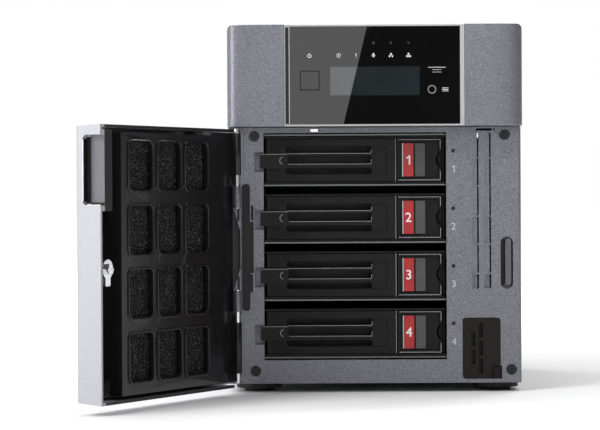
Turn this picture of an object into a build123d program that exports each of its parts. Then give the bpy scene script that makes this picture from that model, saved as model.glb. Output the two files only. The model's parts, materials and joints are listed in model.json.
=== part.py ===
# Desktop network attached storage box: four front-loading drive trays behind
# a hinged door, a control head above them, and the electronics behind.
# Frame: origin on the floor, under the middle of the control head's front
# face; +X to the right seen from the front, +Y to the rear, +Z up. Millimetres.
from build123d import *
import os
import math

os.makedirs("parts", exist_ok=True)

# ---------------------------------------------------------------- dimensions
HALF_W = 85.0            # half width of the case
DEPTH_END = 226.2        # rear face of the rear panel
Z_BASE = 5.2             # underside of the case
Z_TOP = 212.6            # top of the case
Y_BEZEL = 17.0           # front plane of the lower bezel
BEZEL_T = 3.5            # plate thickness of the lower bezel
Y_COVER = 24.3           # front edge of the metal cover
Z_BEZEL_TOP = 153.8
Z_HEAD = 154.1           # underside of the control head

BAY_X0, BAY_X1 = -64.4, 41.6
BAY_Z0, BAY_Z1 = 18.8, 150.75
PITCH = 33.45
ZC = [134.9 - PITCH * i for i in range(4)]   # tray centres, top to bottom
TRAY_HH = 13.8           # half height of a tray front
TRAY_TRAVEL = 150.0

LEVER_PX, LEVER_PY = -62.5, 24.5             # lever pivot axis
LEVER_OPEN = 55.0
LATCH_TRAVEL = 1.8

HX, HY = -79.75, 6.0     # door hinge axis
DOOR_OPEN = 117.4        # opening angle of the door at rest
DOOR_U = 164.2           # hinge axis to free edge
DOOR_Z0, DOOR_Z1 = 5.4, 152.2
DOOR_N0, DOOR_N1 = -6.0, 9.5                 # outer and inner face, from the axis
WIN_U = [(50.5, 77.5), (80.5, 107.3), (110.6, 137.4)]
WIN_Z = [(14.5, 43.0), (48.45, 76.9), (82.4, 110.9), (116.4, 144.85)]
LOCK_U, LOCK_Z = 155.1, 76.5

FAN_X, FAN_Z = -12.0, 84.0
FAN_Y0, FAN_Y1 = 200.0, 225.0

BTN_PWR = (-37.4, 180.4)     # centre x, z of the power key
BTN_FUN = (32.7, 175.0)
BTN_DSP = (35.6, 185.6)
LED_Z = 201.8
LED_X = [-37.6, -20.8, -10.8, -0.75, 9.3, 19.4]

SCREWS = [(-69.8, 148.95), (75.6, 149.2), (-69.55, 12.5), (79.1, 12.8)]
FEET = [(-67.8, 38.0), (71.2, 38.0), (-67.8, 205.0), (71.2, 205.0)]
LAN_Z = [126.0, 106.0, 86.0]
USB_Z = [64.0, 47.0]
REAR_SCREWS = [(-80.0, 205.0), (80.0, 205.0), (-80.0, 14.0), (80.0, 14.0)]


# ------------------------------------------------------------------- helpers
def bx(x0, x1, y0, y1, z0, z1):
    return Pos((x0 + x1) / 2, (y0 + y1) / 2, (z0 + z1) / 2) * Box(
        x1 - x0, y1 - y0, z1 - z0)


def ry(x0, x1, z0, z1, y0, y1, r):
    """Rounded rectangle in XZ, from y0 to y1."""
    pl = Plane(((x0 + x1) / 2, y0, (z0 + z1) / 2), x_dir=(1, 0, 0), z_dir=(0, 1, 0))
    return extrude(pl * RectangleRounded(x1 - x0, z1 - z0, r), amount=y1 - y0)


def cy(x, z, r, y0, y1):
    return Pos(x, (y0 + y1) / 2, z) * Rot(90, 0, 0) * Cylinder(r, y1 - y0)


def cz(x, y, r, z0, z1):
    return Pos(x, y, (z0 + z1) / 2) * Cylinder(r, z1 - z0)


def prism(pts, z0, z1):
    """Closed polygon in XY, from z0 to z1."""
    return extrude(Plane.XY.offset(z0) * make_face(Polyline(*pts, close=True)),
                   amount=z1 - z0)


def prism_y(pts, y0, y1):
    """Closed polygon of (x, z) points, from y0 to y1."""
    f = make_face(Polyline(*[(p[0], y0, p[1]) for p in pts], close=True))
    return extrude(f, amount=y1 - y0, dir=(0, 1, 0))


def hexagon_y(x, z, r, y0, y1, turn=0.0):
    pts = [(x + r * math.cos(math.radians(60 * k + turn)),
            z + r * math.sin(math.radians(60 * k + turn))) for k in range(6)]
    return prism_y(pts, y0, y1)


def save(name, shape):
    solids = shape.solids() if not isinstance(shape, (list, tuple)) else [
        s for p in shape for s in p.solids()]
    out = solids[0] if len(solids) == 1 else Compound(children=list(solids))
    out.label = name
    export_step(out, "parts/%s.step" % name)


# --------------------------------------------------------------- outer cover
cover = ry(-HALF_W, HALF_W, -40, Z_TOP, Y_COVER, 226.0, 3.0)
cover -= ry(-HALF_W + 1, HALF_W - 1, -41, Z_TOP - 1, Y_COVER - 1, 227, 2.0)
cover -= bx(-90, 90, 0, 240, -50, Z_BASE)
save("outer_cover", cover)

# -------------------------------------------------------------- chassis base
base = bx(-83.8, 83.8, Y_COVER, 224.8, Z_BASE, Z_BASE + 1.2)
base += bx(-83.8, -82.8, Y_COVER + 4, 220, Z_BASE + 1.2, 15)
base += bx(82.8, 83.8, Y_COVER + 4, 220, Z_BASE + 1.2, 15)
base += bx(-60, 60, Y_COVER, Y_COVER + 1.2, Z_BASE + 1.2, 15)
save("chassis_base", base)

# ---------------------------------------------------------------- rear panel
rear = ry(-83.8, 83.8, Z_BASE + 0.2, Z_TOP - 1.2, 225.0, DEPTH_END, 2.4)
cuts = [cy(FAN_X, FAN_Z, 56.0, 220, 230)]
for z in LAN_Z:
    cuts.append(bx(63.4, 77.3, 220, 230, z - 8.2, z + 8.2))
for z in USB_Z:
    cuts.append(bx(63.4, 70.8, 220, 230, z - 7.0, z + 7.0))
cuts.append(bx(-74.2, -45.8, 220, 230, 171.8, 194.2))
for k in range(7):
    for j in range(3):
        cuts.append(ry(-30 + 8.4 * k - 1.6, -30 + 8.4 * k + 1.6,
                       163 + 14 * j, 163 + 14 * j + 10, 220, 230, 1.5))
for k in range(6):
    cuts.append(ry(50, 78, 152 + 8.5 * k, 155 + 8.5 * k, 220, 230, 1.4))
for dx in (-52.5, 52.5):
    for dz in (-52.5, 52.5):
        cuts.append(cy(FAN_X + dx, FAN_Z + dz, 2.2, 220, 230))
for x, z in REAR_SCREWS:
    cuts.append(cy(x, z, 1.7, 220, 230))
rear = rear - cuts
save("rear_panel", rear)

# -------------------------------------------------------------- front bezel
bez = prism([(-85, 18.5), (-84.6, 17.4), (-83.5, 17), (83.5, 17), (84.6, 17.4),
             (85, 18.5), (85, 24), (-85, 24)], Z_BASE, Z_BEZEL_TOP)
bez -= bx(-82.8, 82.8, Y_BEZEL + BEZEL_T, 30, Z_BASE + 2.2, Z_BEZEL_TOP - 1.2)
adds = []
for zc in ZC:                      # pockets that take the lever tongues
    adds.append(bx(-70.3, -64.4, 20, 27.0, zc - 7.7, zc + 5.8))
adds.append(ry(71.8, 81.4, 58.5, 91.1, 20, 24.6, 4.6))      # lock strike pocket
# hinge arms that reach forward to the door axis
arm_hi = prism_y([(-77.6, 119.6), (-81.9, 119.6), (-81.9, 107.5), (-77.95, 94.5),
                  (-77.6, 94.5)], HY, 20)
arm_lo = prism_y([(-77.6, 47.6), (-81.9, 47.6), (-81.9, 59.6), (-77.95, 72.6),
                  (-77.6, 72.6)], HY, 20)
arm_hi += cz(HX, HY, 2.15, 107.5, 119.6)
arm_lo += cz(HX, HY, 2.15, 47.6, 59.6)
flange = bx(-77.95, -77.6, 9.0, 20, 60, 107)
bez = bez + adds + [arm_hi, arm_lo, flange]
cuts = [bx(BAY_X0, BAY_X1, 0, 40, BAY_Z0, BAY_Z1)]
for zc in ZC:
    cuts.append(bx(-69.7, -64.0, 10, 25.8, zc - 6.7, zc + 4.8))
    cuts.append(cy(45.65, zc + 5.15, 1.2, 10, 30))
for x, z in SCREWS:
    cuts.append(cy(x, z, 3.2, 10, 19.2))
    cuts.append(cy(x, z, 1.55, 10, 30))
for gx in (56.6, 63.7):            # two louvred grooves
    gw = 3.8
    segs = [(136.2, 150.25, 0.7), (119.9, 135.2, 1.5), (102.5, 118.9, 0.7),
            (86.2, 101.5, 1.5), (69.1, 85.2, 0.7), (60.0, 68.1, 2.4)]
    for z0, z1, d in segs:
        cuts.append(bx(gx, gx + gw, 10, Y_BEZEL + d, z0, z1))
        cuts.append(bx(gx + gw - 0.85, gx + gw, 10, 30, z0, z1))
cuts.append(ry(73.0, 80.2, 59.7, 89.9, 10, 23.4, 3.55))
cuts.append(ry(50.7, 72.8, 7.4, 43.0, 10, 30, 1.9))
cuts.append(bx(68.0, 73.6, 10, 30, 7.4, 14.8))
cuts.append(bx(59.0, 70.0, 10, 30, 151.6, 152.9))
cuts.append(bx(-37.4, -32.4, 10, 30, 151.4, 153.2))
cuts.append(ry(-77.25, -72.5, 47.5, 121.3, 16.9, 30, 2.2))
cuts.append(bx(-75.0, -70.45, 16.9, 30, 69.6, 99.2))
cuts.append(bx(-71.9, -70.5, 16.9, 30, 100.2, 108.6))
cuts.append(bx(-72.4, -70.9, 16.9, 30, 58.4, 69.0))
for z0, z1 in ((100, 121), (46, 68)):
    cuts.append(cz(HX, HY, 1.4, z0, z1))
bez = bez - cuts
save("front_bezel", bez)

# hinge bracket behind the bezel, and the two hinge pins
brk = bx(-79.5, -66.9, 20.5, 21.7, 44, 125)
brk += bx(-79.5, -78.3, 21.7, 27.5, 44, 125)
for zc in ZC:
    brk -= bx(-70.6, -60, 19, 30, zc - 8.0, zc + 6.1)
save("hinge_bracket", brk)
save("hinge_pins", [cz(HX, HY, 1.4, 107.0, 152.9), cz(HX, HY, 1.4, 6.4, 60.1)])

# bezel screws: pan heads with a cross recess
sc = []
for x, z in SCREWS:
    s = cy(x, z, 2.8, 17.8, 19.2) + cy(x, z, 1.5, 19.2, 27)
    s -= bx(x - 1.7, x + 1.7, 17.0, 18.7, z - 0.4, z + 0.4)
    s -= bx(x - 0.4, x + 0.4, 17.0, 18.7, z - 1.7, z + 1.7)
    sc.append(s)
save("bezel_screws", sc)
save("bay_light_pipes", [cy(45.65, zc + 5.15, 1.15, 17.5, 27) for zc in ZC])

strike = ry(75.9, 79.2, 61.9, 89.0, 18.4, 23.4, 1.6)
strike -= ry(76.9, 78.2, 63.2, 87.6, 18.0, 18.9, 0.6)
save("lock_strike", strike)

vp = ry(50.9, 72.6, 7.6, 42.8, 17.3, 20.5, 1.7)
vp += bx(49.2, 74.4, 20.5, 21.6, 7.5, 44.4)
vp -= bx(67.9, 80, 10, 30, 0, 14.95)
for z0, z1 in ((26.4, 34.7), (15.9, 24.4)):
    vp -= ry(55.6, 58.05, z0, z1, 10, 30, 0.5)
for z0, z1 in ((31.6, 39.8), (21.2, 29.3), (10.7, 19.1)):
    vp -= ry(60.0, 62.45, z0, z1, 10, 30, 0.5)
save("vent_plate", vp)

rb = bx(68.3, 73.3, 17.5, 26.0, 7.7, 14.5)
rb -= bx(69.2, 72.4, 17.0, 18.0, 8.6, 13.6)
save("reset_button", rb)

save("door_magnet", ry(-37.1, -32.7, 151.4, 153.0, 17.3, 21.5, 0.3))

# --------------------------------------------------------------- head bezel
front = Spline((-52.1, 0), (-66, 0.25), (-76, 1.05), (-82.2, 2.9), (-84.5, 6.0),
               (-85, 11))
frontr = Spline((52.1, 0), (66, 0.25), (76, 1.05), (82.2, 2.9), (84.5, 6.0),
                (85, 11))
outline = make_face([front, Line((-85, 11), (-85, 24)), Line((-85, 24), (85, 24)),
                     Line((85, 24), (85, 11)), frontr, Line((52.1, 0), (-52.1, 0))])
head = extrude(Plane.XY.offset(Z_HEAD) * outline, amount=Z_TOP - Z_HEAD)
mask = ry(-HALF_W, HALF_W, 120, Z_TOP, -2, 30, 3.0)
head = head & mask
inner = prism([(-82.6, 24.5), (-82.6, 7.5), (-80.4, 4.9), (-75, 3.3), (-64, 2.5),
               (64, 2.5), (75, 3.3), (80.4, 4.9), (82.6, 7.5), (82.6, 24.5)],
              Z_HEAD + 1.8, Z_TOP - 2.0)
head -= inner
head -= bx(-52.1, 51.6, -3, 4.4, 150, 220)
head += bx(-54.1, -52.1, 2.4, 7, Z_HEAD + 1.0, Z_TOP - 1.5)
head += bx(51.6, 53.6, 2.4, 7, Z_HEAD + 1.0, Z_TOP - 1.5)
save("head_bezel", head)

# --------------------------------------------- panel trim, panel and display
trim = bx(-51.9, 51.4, 0.15, 4.3, 154.25, 212.35)
trim -= bx(-48.95, 48.95, -1, 2.6, 155.15, 211.45)
trim -= bx(-46.5, 46.5, -1, 6, 157.5, 209)
trim -= bx(-51.45, -49.4, -1, 1.6, 150, 220)
save("panel_trim", trim)

panel = bx(-48.8, 48.8, 0.0, 2.6, 155.3, 211.3)
panel -= bx(-25.75, 25.75, -1, 5, 171.7, 188.3)
px, pz = BTN_PWR
panel -= ry(px - 5.7, px + 5.7, pz - 5.7, pz + 5.7, -1, 5, 0.8)
panel -= cy(BTN_FUN[0], BTN_FUN[1], 2.85, -1, 5)
panel -= ry(BTN_DSP[0] - 5.65, BTN_DSP[0] + 5.65, BTN_DSP[1] - 2.65, BTN_DSP[1] + 2.65, -1, 5, 0.6)
for x in LED_X:
    panel -= cy(x, LED_Z, 0.8, -1, 5)
save("head_panel", panel)

save("display_window", bx(-25.7, 25.7, 0.0, 2.6, 171.75, 188.25))
lcd = bx(-30, 30, 3.0, 12.5, 168.5, 191.5)
lcd -= bx(-27, 27, 2, 4.4, 170.5, 189.5)
save("lcd_module", lcd)
pcb = bx(-47, 47, 12.5, 14.1, 158, 209)
pcb += [bx(px - 2.4, px + 2.4, 11.6, 12.5, pz - 2.4, pz + 2.4) for px, pz in (BTN_PWR, BTN_FUN)]
save("front_panel_board", pcb)
save("status_light_pipes", [cy(x, LED_Z, 0.75, 0.1, 12.5) for x in LED_X])

px, pz = BTN_PWR
key = ry(px - 5.1, px + 5.1, pz - 5.1, pz + 5.1, -0.45, 3.4, 0.7) + bx(px - 2, px + 2, 3.4, 10.2, pz - 2, pz + 2)
save("power_button", key)
px, pz = BTN_FUN
key = cy(px, pz, 2.6, -0.4, 3.4) + cy(px, pz, 1.5, 3.4, 10.4)
key -= cy(px, pz, 1.75, -1, -0.1)
save("function_button", key)
px, pz = BTN_DSP
key = ry(px - 5.4, px + 5.4, pz - 2.4, pz + 2.4, -0.3, 3.4, 0.5) + cy(px, pz, 1.5, 3.4, 11.2)
save("display_button", key)

# --------------------------------------------------------------- drive cage
cage = bx(-66.8, -65.8, 28, 186, Z_BASE + 1.2, 152) + bx(42.9, 43.9, 28, 186, Z_BASE + 1.2, 152)
shelves = []
for zc in ZC:
    shelves.append(bx(-65.8, 42.9, 28, 150, zc - 14.9, zc - 14.1))
    shelves.append(bx(-64.2, 41.4, 21.4, 28, zc - 14.9, zc - 14.1))
    shelves.append(bx(-65.8, -63.3, 36, 170, zc - 11.3, zc - 10.4))
    shelves.append(bx(40.4, 42.9, 36, 170, zc - 11.3, zc - 10.4))
shelves.append(bx(-65.8, 42.9, 28, 180, 149.2, 150.0))
shelves.append(bx(-64.2, 41.4, 21.4, 28, 149.2, 150.0))
cage = cage + shelves
save("drive_cage", cage)

# --------------------------------------------- trays, drives, levers, latches
for i, zc in enumerate(ZC, 1):
    # tray: front frame with ears for the lever pins, and two side rails
    t = bx(-64.0, 41.2, 22.5, 34, zc + 12.6, zc + TRAY_HH)
    t += bx(-64.0, 41.2, 22.5, 34, zc - TRAY_HH, zc - 12.6)
    t += bx(-64.0, 41.2, 31, 34, zc - 13, zc + 13)
    t += bx(39.9, 41.2, 27.5, 34, zc - 13, zc + 13)
    t += bx(-64.0, -62.4, 33, 178, zc - 10, zc + 10)
    t += bx(39.6, 41.2, 33, 178, zc - 10, zc + 10)
    t -= cz(LEVER_PX, LEVER_PY, 1.05, zc - 15, zc + 15)
    for z0, z1 in ((4.2, 8.1), (-2.0, 2.7), (-8.0, -4.4)):
        t -= ry(-51, -2, zc + z0, zc + z1, 25, 36, 1.2)
    save("tray_%d" % i, t)

    # drive: cast body with a cavity, a pressed lid, on the tray's rails
    d = bx(-62.2, 39.4, 36, 183, zc - 12.9, zc + 11.7)
    d = chamfer(d.edges().filter_by(Axis.Z), 1.0)
    d -= bx(-58, 35, 40, 170, zc - 8, zc + 9.5)
    d -= bx(-32, 16, 179, 184, zc - 14, zc - 6)
    lid = extrude(Plane.XY.offset(zc + 11.7) * Pos(-11.4, 100) * RectangleRounded(97, 124, 6), amount=1.2)
    lid -= extrude(Plane.XY.offset(zc + 12.5) * Pos(-11.4, 96) * RectangleRounded(80, 86, 10), amount=2)
    save("drive_%d" % i, [d, lid])

    # lever: ventilated face plate on a vertical pivot at its left end
    lv = prism([(12.6, 21.0), (12.6, 24.4), (-38, 24.4), (-61, 26.0), (-62.5, 26.0),
                (-62.5, 23.0), (-60.5, 23.0), (-38, 21.0)], zc - 12.3, zc + 12.3)
    lv += cz(LEVER_PX, LEVER_PY, 1.5, zc - 12.3, zc + 12.3)
    lv -= ry(-60.3, 7.4, zc - 8.4, zc + 8.2, 18, 22.5, 1.8)
    for z0, z1 in ((4.2, 8.15), (-2.0, 2.7), (-8.0, -4.4)):
        lv -= ry(-51.35, -1.5, zc + z0, zc + z1, 18, 30, 1.4)
    lv += bx(-66.3, -50.2, 20.0, 21.5, zc - 4.7, zc + 3.8)
    lv += bx(-60.5, -51.6, 21.5, 24.4, zc - 4.7, zc + 3.8)
    lv += cy(-53.0, zc + 0.2, 2.5, 19.6, 21.0)
    lv += cz(LEVER_PX, LEVER_PY, 1.0, zc - 13.6, zc + 13.6)
    save("tray_lever_%d" % i, lv)

    # latch: sliding frame with a finger notch at its right end
    la = bx(13.4, 38.3, 24.2, 26.2, zc - 12.2, zc + 12.2)
    la += bx(13.4, 38.9, 21.2, 24.4, zc + 10.7, zc + 12.2)
    la += bx(13.4, 38.9, 21.2, 24.4, zc - 12.2, zc - 10.7)
    la += bx(13.4, 14.4, 21.9, 24.4, zc - 12.2, zc + 12.2)
    la += bx(37.7, 38.9, 21.2, 26.2, zc + 4.9, zc + 12.2)
    la += bx(37.7, 38.9, 21.2, 26.2, zc - 12.2, zc - 4.9)
    la += bx(20, 30, 26.2, 30.6, zc - 4, zc + 4)
    la -= Pos(42.0, 22.5, zc) * Sphere(6.2)
    la += bx(16.6, 29.7, 22.8, 24.4, zc - 10.0, zc + 10.0)
    save("tray_latch_%d" % i, la)

# -------------------------------------------------- backplane and connectors
bp = bx(-64, 41, 186.0, 187.6, 20, 150)
for zc in ZC:
    # air slots, each behind its own drive
    bp -= ry(-58, -34, zc - 3, zc + 9, 180, 190, 2)
    bp -= ry(18, 36, zc - 3, zc + 9, 180, 190, 2)
save("backplane", bp)
save("drive_connectors", [bx(-28, 12, 183.4, 186.0, zc - 12, zc - 6.5) for zc in ZC])

# ---------------------------------------------------------------------- fan
ff = ry(FAN_X - 60, FAN_X + 60, FAN_Z - 60, FAN_Z + 60, FAN_Y0, FAN_Y1, 5)
ff -= cy(FAN_X, FAN_Z, 57.5, FAN_Y0 - 1, FAN_Y1 + 1)
ff += cy(FAN_X, FAN_Z, 19.5, 222.6, FAN_Y1)
for a in (35, 125, 215, 305):
    ff += Pos(FAN_X, 223.8, FAN_Z) * Rot(0, a, 0) * Pos(38, 0, 0) * Box(44, 2.4, 3.5)
for dx in (-52.5, 52.5):
    for dz in (-52.5, 52.5):
        ff -= cy(FAN_X + dx, FAN_Z + dz, 2.2, 190, 230)
save("fan_frame", ff)

rot = cy(FAN_X, FAN_Z, 20.0, 203.0, 222.0)
blades = []
for k in range(7):
    b = Pos(37.5, 0, 0) * Rot(38, 0, 0) * Box(38, 1.6, 21)
    blades.append(Pos(FAN_X, 212.4, FAN_Z) * Rot(0, 360 / 7 * k, 0) * b)
rot = rot + blades
rot = rot & cy(FAN_X, FAN_Z, 56.2, 202, 222.2)
save("fan_rotor", rot)

fg = []
gy0, gy1 = DEPTH_END, DEPTH_END + 1.8
guard = None
for r in (14, 25, 36, 47, 57.5):
    ring = cy(FAN_X, FAN_Z, r + 0.8, gy0, gy1) - cy(FAN_X, FAN_Z, r - 0.8, gy0 - 1, gy1 + 1)
    guard = ring if guard is None else guard + ring
for a in (45, 135, 225, 315):
    guard += Pos(FAN_X, (gy0 + gy1) / 2, FAN_Z) * Rot(0, a, 0) * Pos(42, 0, 0) * Box(56, 1.8, 1.8)
for dx in (-52.5, 52.5):
    for dz in (-52.5, 52.5):
        guard += cy(FAN_X + dx, FAN_Z + dz, 5.0, gy0, gy1)
        guard -= cy(FAN_X + dx, FAN_Z + dz, 2.2, gy0 - 1, gy1 + 1)
save("fan_guard", guard)
fs = []
for dx in (-52.5, 52.5):
    for dz in (-52.5, 52.5):
        s = cy(FAN_X + dx, FAN_Z + dz, 2.15, 212, gy1) + cy(FAN_X + dx, FAN_Z + dz, 4.2, gy1, gy1 + 1.6)
        s -= bx(FAN_X + dx - 2.4, FAN_X + dx + 2.4, gy1 + 0.9, gy1 + 3, FAN_Z + dz - 0.45, FAN_Z + dz + 0.45)
        s -= bx(FAN_X + dx - 0.45, FAN_X + dx + 0.45, gy1 + 0.9, gy1 + 3, FAN_Z + dz - 2.4, FAN_Z + dz + 2.4)
        fs.append(s)
save("fan_screws", fs)

# --------------------------------------------------------------- electronics
save("mainboard", bx(62.0, 63.6, 40, 222, 14, 146) + bx(63.6, 65.6, 80, 112, 68, 100))
hs = bx(65.6, 68.4, 70, 122, 58, 110)
fins = [bx(68.4, 80.5, 70, 122, 58 + 4.6 * k, 59.4 + 4.6 * k) for k in range(12)]
hs = hs + fins
save("heat_sink", hs)
mem = bx(63.6, 69.0, 132, 138, 40, 110) + bx(69.0, 80.0, 134.4, 135.6, 42, 108)
save("memory_module", mem)

lan = []
for z in LAN_Z:
    j = bx(63.6, 77.1, 205, 226.6, z - 8, z + 8)
    j -= bx(66.0, 73.2, 213, 227, z - 5.9, z + 5.9)
    j -= bx(73.0, 75.2, 213, 227, z - 3.2, z + 3.2)
    lan.append(j)
usb = []
for z in USB_Z:
    j = bx(63.6, 70.6, 211, 226.6, z - 6.8, z + 6.8)
    j -= bx(64.2, 70.0, 213, 227, z - 6.2, z + 6.2)
    j += bx(64.9, 66.6, 212, 225.6, z - 5.5, z + 5.5)
    usb.append(j)
save("io_ports", lan + usb)

psu = bx(-77.5, 30, 95, 225.0, 157.2, 209)
psu -= bx(-76.5, 29, 96, 224.0, 158.2, 208)
psu -= bx(-74, -46, 220, 230, 172, 194)
for k in range(7):
    for j in range(3):
        psu -= ry(-30 + 8.4 * k - 1.6, -30 + 8.4 * k + 1.6, 163 + 14 * j, 173 + 14 * j, 220, 230, 1.5)
save("power_supply", psu)
ac = bx(-74, -46, 206, 226.2, 172, 194)
ac += ry(-76.5, -43.5, 169.5, 196.5, 226.2, 227.8, 2.0)
ac -= prism_y([(-72, 174.5), (-48, 174.5), (-48, 188), (-51.5, 191.5), (-68.5, 191.5), (-72, 188)], 211, 230)
for x, z in ((-60, 187.6), (-67, 180.6), (-53, 180.6)):
    ac += bx(x - 1.0, x + 1.0, 210, 224, z - 2.0, z + 2.0)
save("ac_inlet", ac)

# ------------------------------------------------------ feet and rear screws
ft = []
for x, y in FEET:
    ft.append(cz(x, y, 13.2, 1.9, Z_BASE) + cz(x, y, 8.6, 0, 1.9))
save("feet", ft)
ts = []
for x, z in REAR_SCREWS:
    s = cy(x, z, 1.7, 219, DEPTH_END) + cy(x, z, 3.4, DEPTH_END, 230.0)
    s -= bx(x - 2.6, x + 2.6, 229.0, 231, z - 0.5, z + 0.5)
    s -= bx(x - 0.5, x + 0.5, 229.0, 231, z - 2.6, z + 2.6)
    ts.append(s)
save("cover_screws", ts)

# ---------------------------------------------------------------------- door
# The door is drawn closed, with u along +X from the hinge axis and n along +Y,
# then turned open about the axis.
def opened(s):
    return Pos(HX, HY, 0) * Rot(0, 0, -DOOR_OPEN) * Pos(-HX, -HY, 0) * s


def ub(u0, u1, n0, n1, z0, z1):
    return bx(HX + u0, HX + u1, HY + n0, HY + n1, z0, z1)


def arm_clear(z0, z1):
    """Space swept by a hinge arm, seen from the door."""
    pts = [(1.2, -2.25), (-10.4, -8.25), (-14, 0), (-14, 12), (2.6, 12), (2.6, 0)]
    return prism([(HX + a, HY + b) for a, b in pts], z0, z1)


W = 1.6
# outer shell: front skin, four side walls, local block for the finger pull
sh = prism([(HX - 5.25, HY - 5.2), (HX - 4.6, HY - 5.85), (HX - 3.9, HY - 6.0),
            (HX + 162.0, HY - 6.0), (HX + 163.3, HY - 5.5), (HX + 163.8, HY - 4.4),
            (HX + DOOR_U, HY + DOOR_N1), (HX - 5.25, HY + DOOR_N1)], DOOR_Z0, DOOR_Z1)
sh -= ub(-3.65, DOOR_U - W, DOOR_N0 + W, 20, DOOR_Z0 + W, DOOR_Z1 - W)
sh -= ub(-9, -3.0, 1.0, 20, 0, 200)
sh -= ub(-9, 21.0, -2.6, 20, DOOR_Z1 - W - 0.3, 200)
sh -= ub(-9, 21.0, -2.6, 20, 0, DOOR_Z0 + W + 0.3)
# drafted outer edges at top and bottom
sh -= extrude(
    make_face(Polyline((HX - 8, HY - 6.5, DOOR_Z1 - 0.9), (HX - 8, HY + 9.6, DOOR_Z1 + 0.001),
                       (HX - 8, HY + 9.6, 170), (HX - 8, HY - 6.5, 170), close=True)),
    amount=190, dir=(1, 0, 0))
sh -= extrude(
    make_face(Polyline((HX - 8, HY - 6.5, DOOR_Z0 + 1.3), (HX - 8, HY + 9.6, DOOR_Z0 - 0.001),
                       (HX - 8, HY + 9.6, -10), (HX - 8, HY - 6.5, -10), close=True)),
    amount=190, dir=(1, 0, 0))
sh += ub(152.5, DOOR_U - 0.8, -4.6, DOOR_N1, 106.9, 149.7)
sh -= extrude(Plane((HX + 170, HY + 3.9 + 5, 128.3), x_dir=(0, 1, 0), z_dir=(-1, 0, 0))
              * RectangleRounded(21.0, 37.0, 2.6), amount=170 - 160.1)
sh -= ub(155.0, 161, -1.6, 1.4, 111.0, 145.6)
vents = []
for (u0, u1) in WIN_U:
    for (z0, z1) in WIN_Z:
        for k in range(4):
            zz = z0 + 4.2 + 6.6 * k
            vents.append(ry(HX + u0 + 2.5, HX + u1 - 2.5, zz - 1.1, zz + 1.1, HY - 8, HY - 4.2, 1.0))
sh = sh - vents
sh -= cy(HX + LOCK_U, LOCK_Z, 5.25, HY - 8, HY)
sh -= [arm_clear(93.9, 121.2), arm_clear(46.0, 73.2), arm_clear(73.0, 94.2)]
save("door_shell", opened(sh))

# black liner: floor, raised window frame, channel and hinge knuckles
ln = ub(-3.6, DOOR_U - W - 0.05, -4.4, -3.2, DOOR_Z0 + W + 0.05, DOOR_Z1 - W - 0.05)
fr = ub(35.0, 143.5, -3.2, DOOR_N1, 9.2, 148.4)
fr -= ub(36.6, 141.9, -3.2, 7.5, 10.8, 146.8)
ln += fr
for (u0, u1) in WIN_U:
    for (z0, z1) in WIN_Z:
        ln += ry(HX + u0, HX + u1, z0, z1, HY + 8, HY + 10.1, 4.5)
for (u0, u1) in WIN_U:
    for (z0, z1) in WIN_Z:
        ln -= ry(HX + u0 + 1.4, HX + u1 - 1.4, z0 + 1.4, z1 - 1.4, HY + 6, HY + 12, 3.4)
        ln -= ry(HX + u0 + 1.4, HX + u1 - 1.4, z0 + 1.4, z1 - 1.4, HY - 6, HY - 2, 3.4)
# knuckles round the pins
kn = [cz(HX, HY, 2.4, 126.3, 150.4), cz(HX, HY, 2.4, 12.0, 41.4)]
kn += [ub(-2.4, 2.4, -3.6, 0, 126.3, 150.4), ub(-2.4, 2.4, -3.6, 0, 12.0, 41.4)]
ln = ln + kn
ln += [ub(-3.55, -2.2, -4.0, 0.9, 126.3, 150.4), ub(-3.55, -2.2, -4.0, 0.9, 12.0, 41.4)]
# channel ribs and step
ln += ub(143.5, 147.5, -3.2, 2.0, 9.2, 17.5)
ln += [ub(u, u + 1.2, -3.2, 3.0, 9.2, 17.5) for u in (150.0, 154.0, 158.0)]
ln -= ub(152.3, 165, -5, 12, 106.7, 149.9)
ln -= cy(HX + LOCK_U, LOCK_Z, 5.25, HY - 8, HY)
ln -= cz(HX, HY, 1.46, 5, 155)
ln -= [arm_clear(93.9, 121.2), arm_clear(46.0, 73.2), arm_clear(73.0, 94.2)]
save("door_liner", opened(ln))

save("door_filter", opened(ub(37.0, 141.5, 3.6, 7.3, 11.2, 146.4)))
save("door_keeper", opened(ub(41.0, 49.5, 0.6, 6.0, 148.4, 150.5)))

lh = cy(HX + LOCK_U, LOCK_Z, 5.2, HY - 6.1, HY + 6.2)
lh += cy(HX + LOCK_U, LOCK_Z, 6.1, HY - 6.9, HY - 6.0)
lh -= cy(HX + LOCK_U, LOCK_Z, 3.56, HY - 10, HY + 10)
save("lock_housing", opened(lh))
pl = cy(HX + LOCK_U, LOCK_Z, 3.5, HY - 6.7, HY + 6.5)
pl -= bx(HX + LOCK_U - 0.45, HX + LOCK_U + 0.45, HY - 10, HY - 3.5, LOCK_Z - 2.2, LOCK_Z + 2.2)
save("lock_plug", opened(pl))
cam = cy(HX + LOCK_U, LOCK_Z, 5.1, HY + 6.5, HY + 8.2)
cam += ry(HX + LOCK_U - 2.4, HX + LOCK_U + 2.4, LOCK_Z - 9.0, LOCK_Z, HY + 6.5, HY + 8.2, 1.0)
cam += hexagon_y(HX + LOCK_U, LOCK_Z, 3.1, HY + 8.2, HY + 10.0)
cam -= bx(HX + LOCK_U - 2.0, HX + LOCK_U + 2.0, HY + 9.4, HY + 11, LOCK_Z - 0.4, LOCK_Z + 0.4)
save("lock_cam", opened(cam))
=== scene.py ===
import json
import math
import random

import bmesh
import bpy
from mathutils import Matrix, Vector, noise


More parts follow.
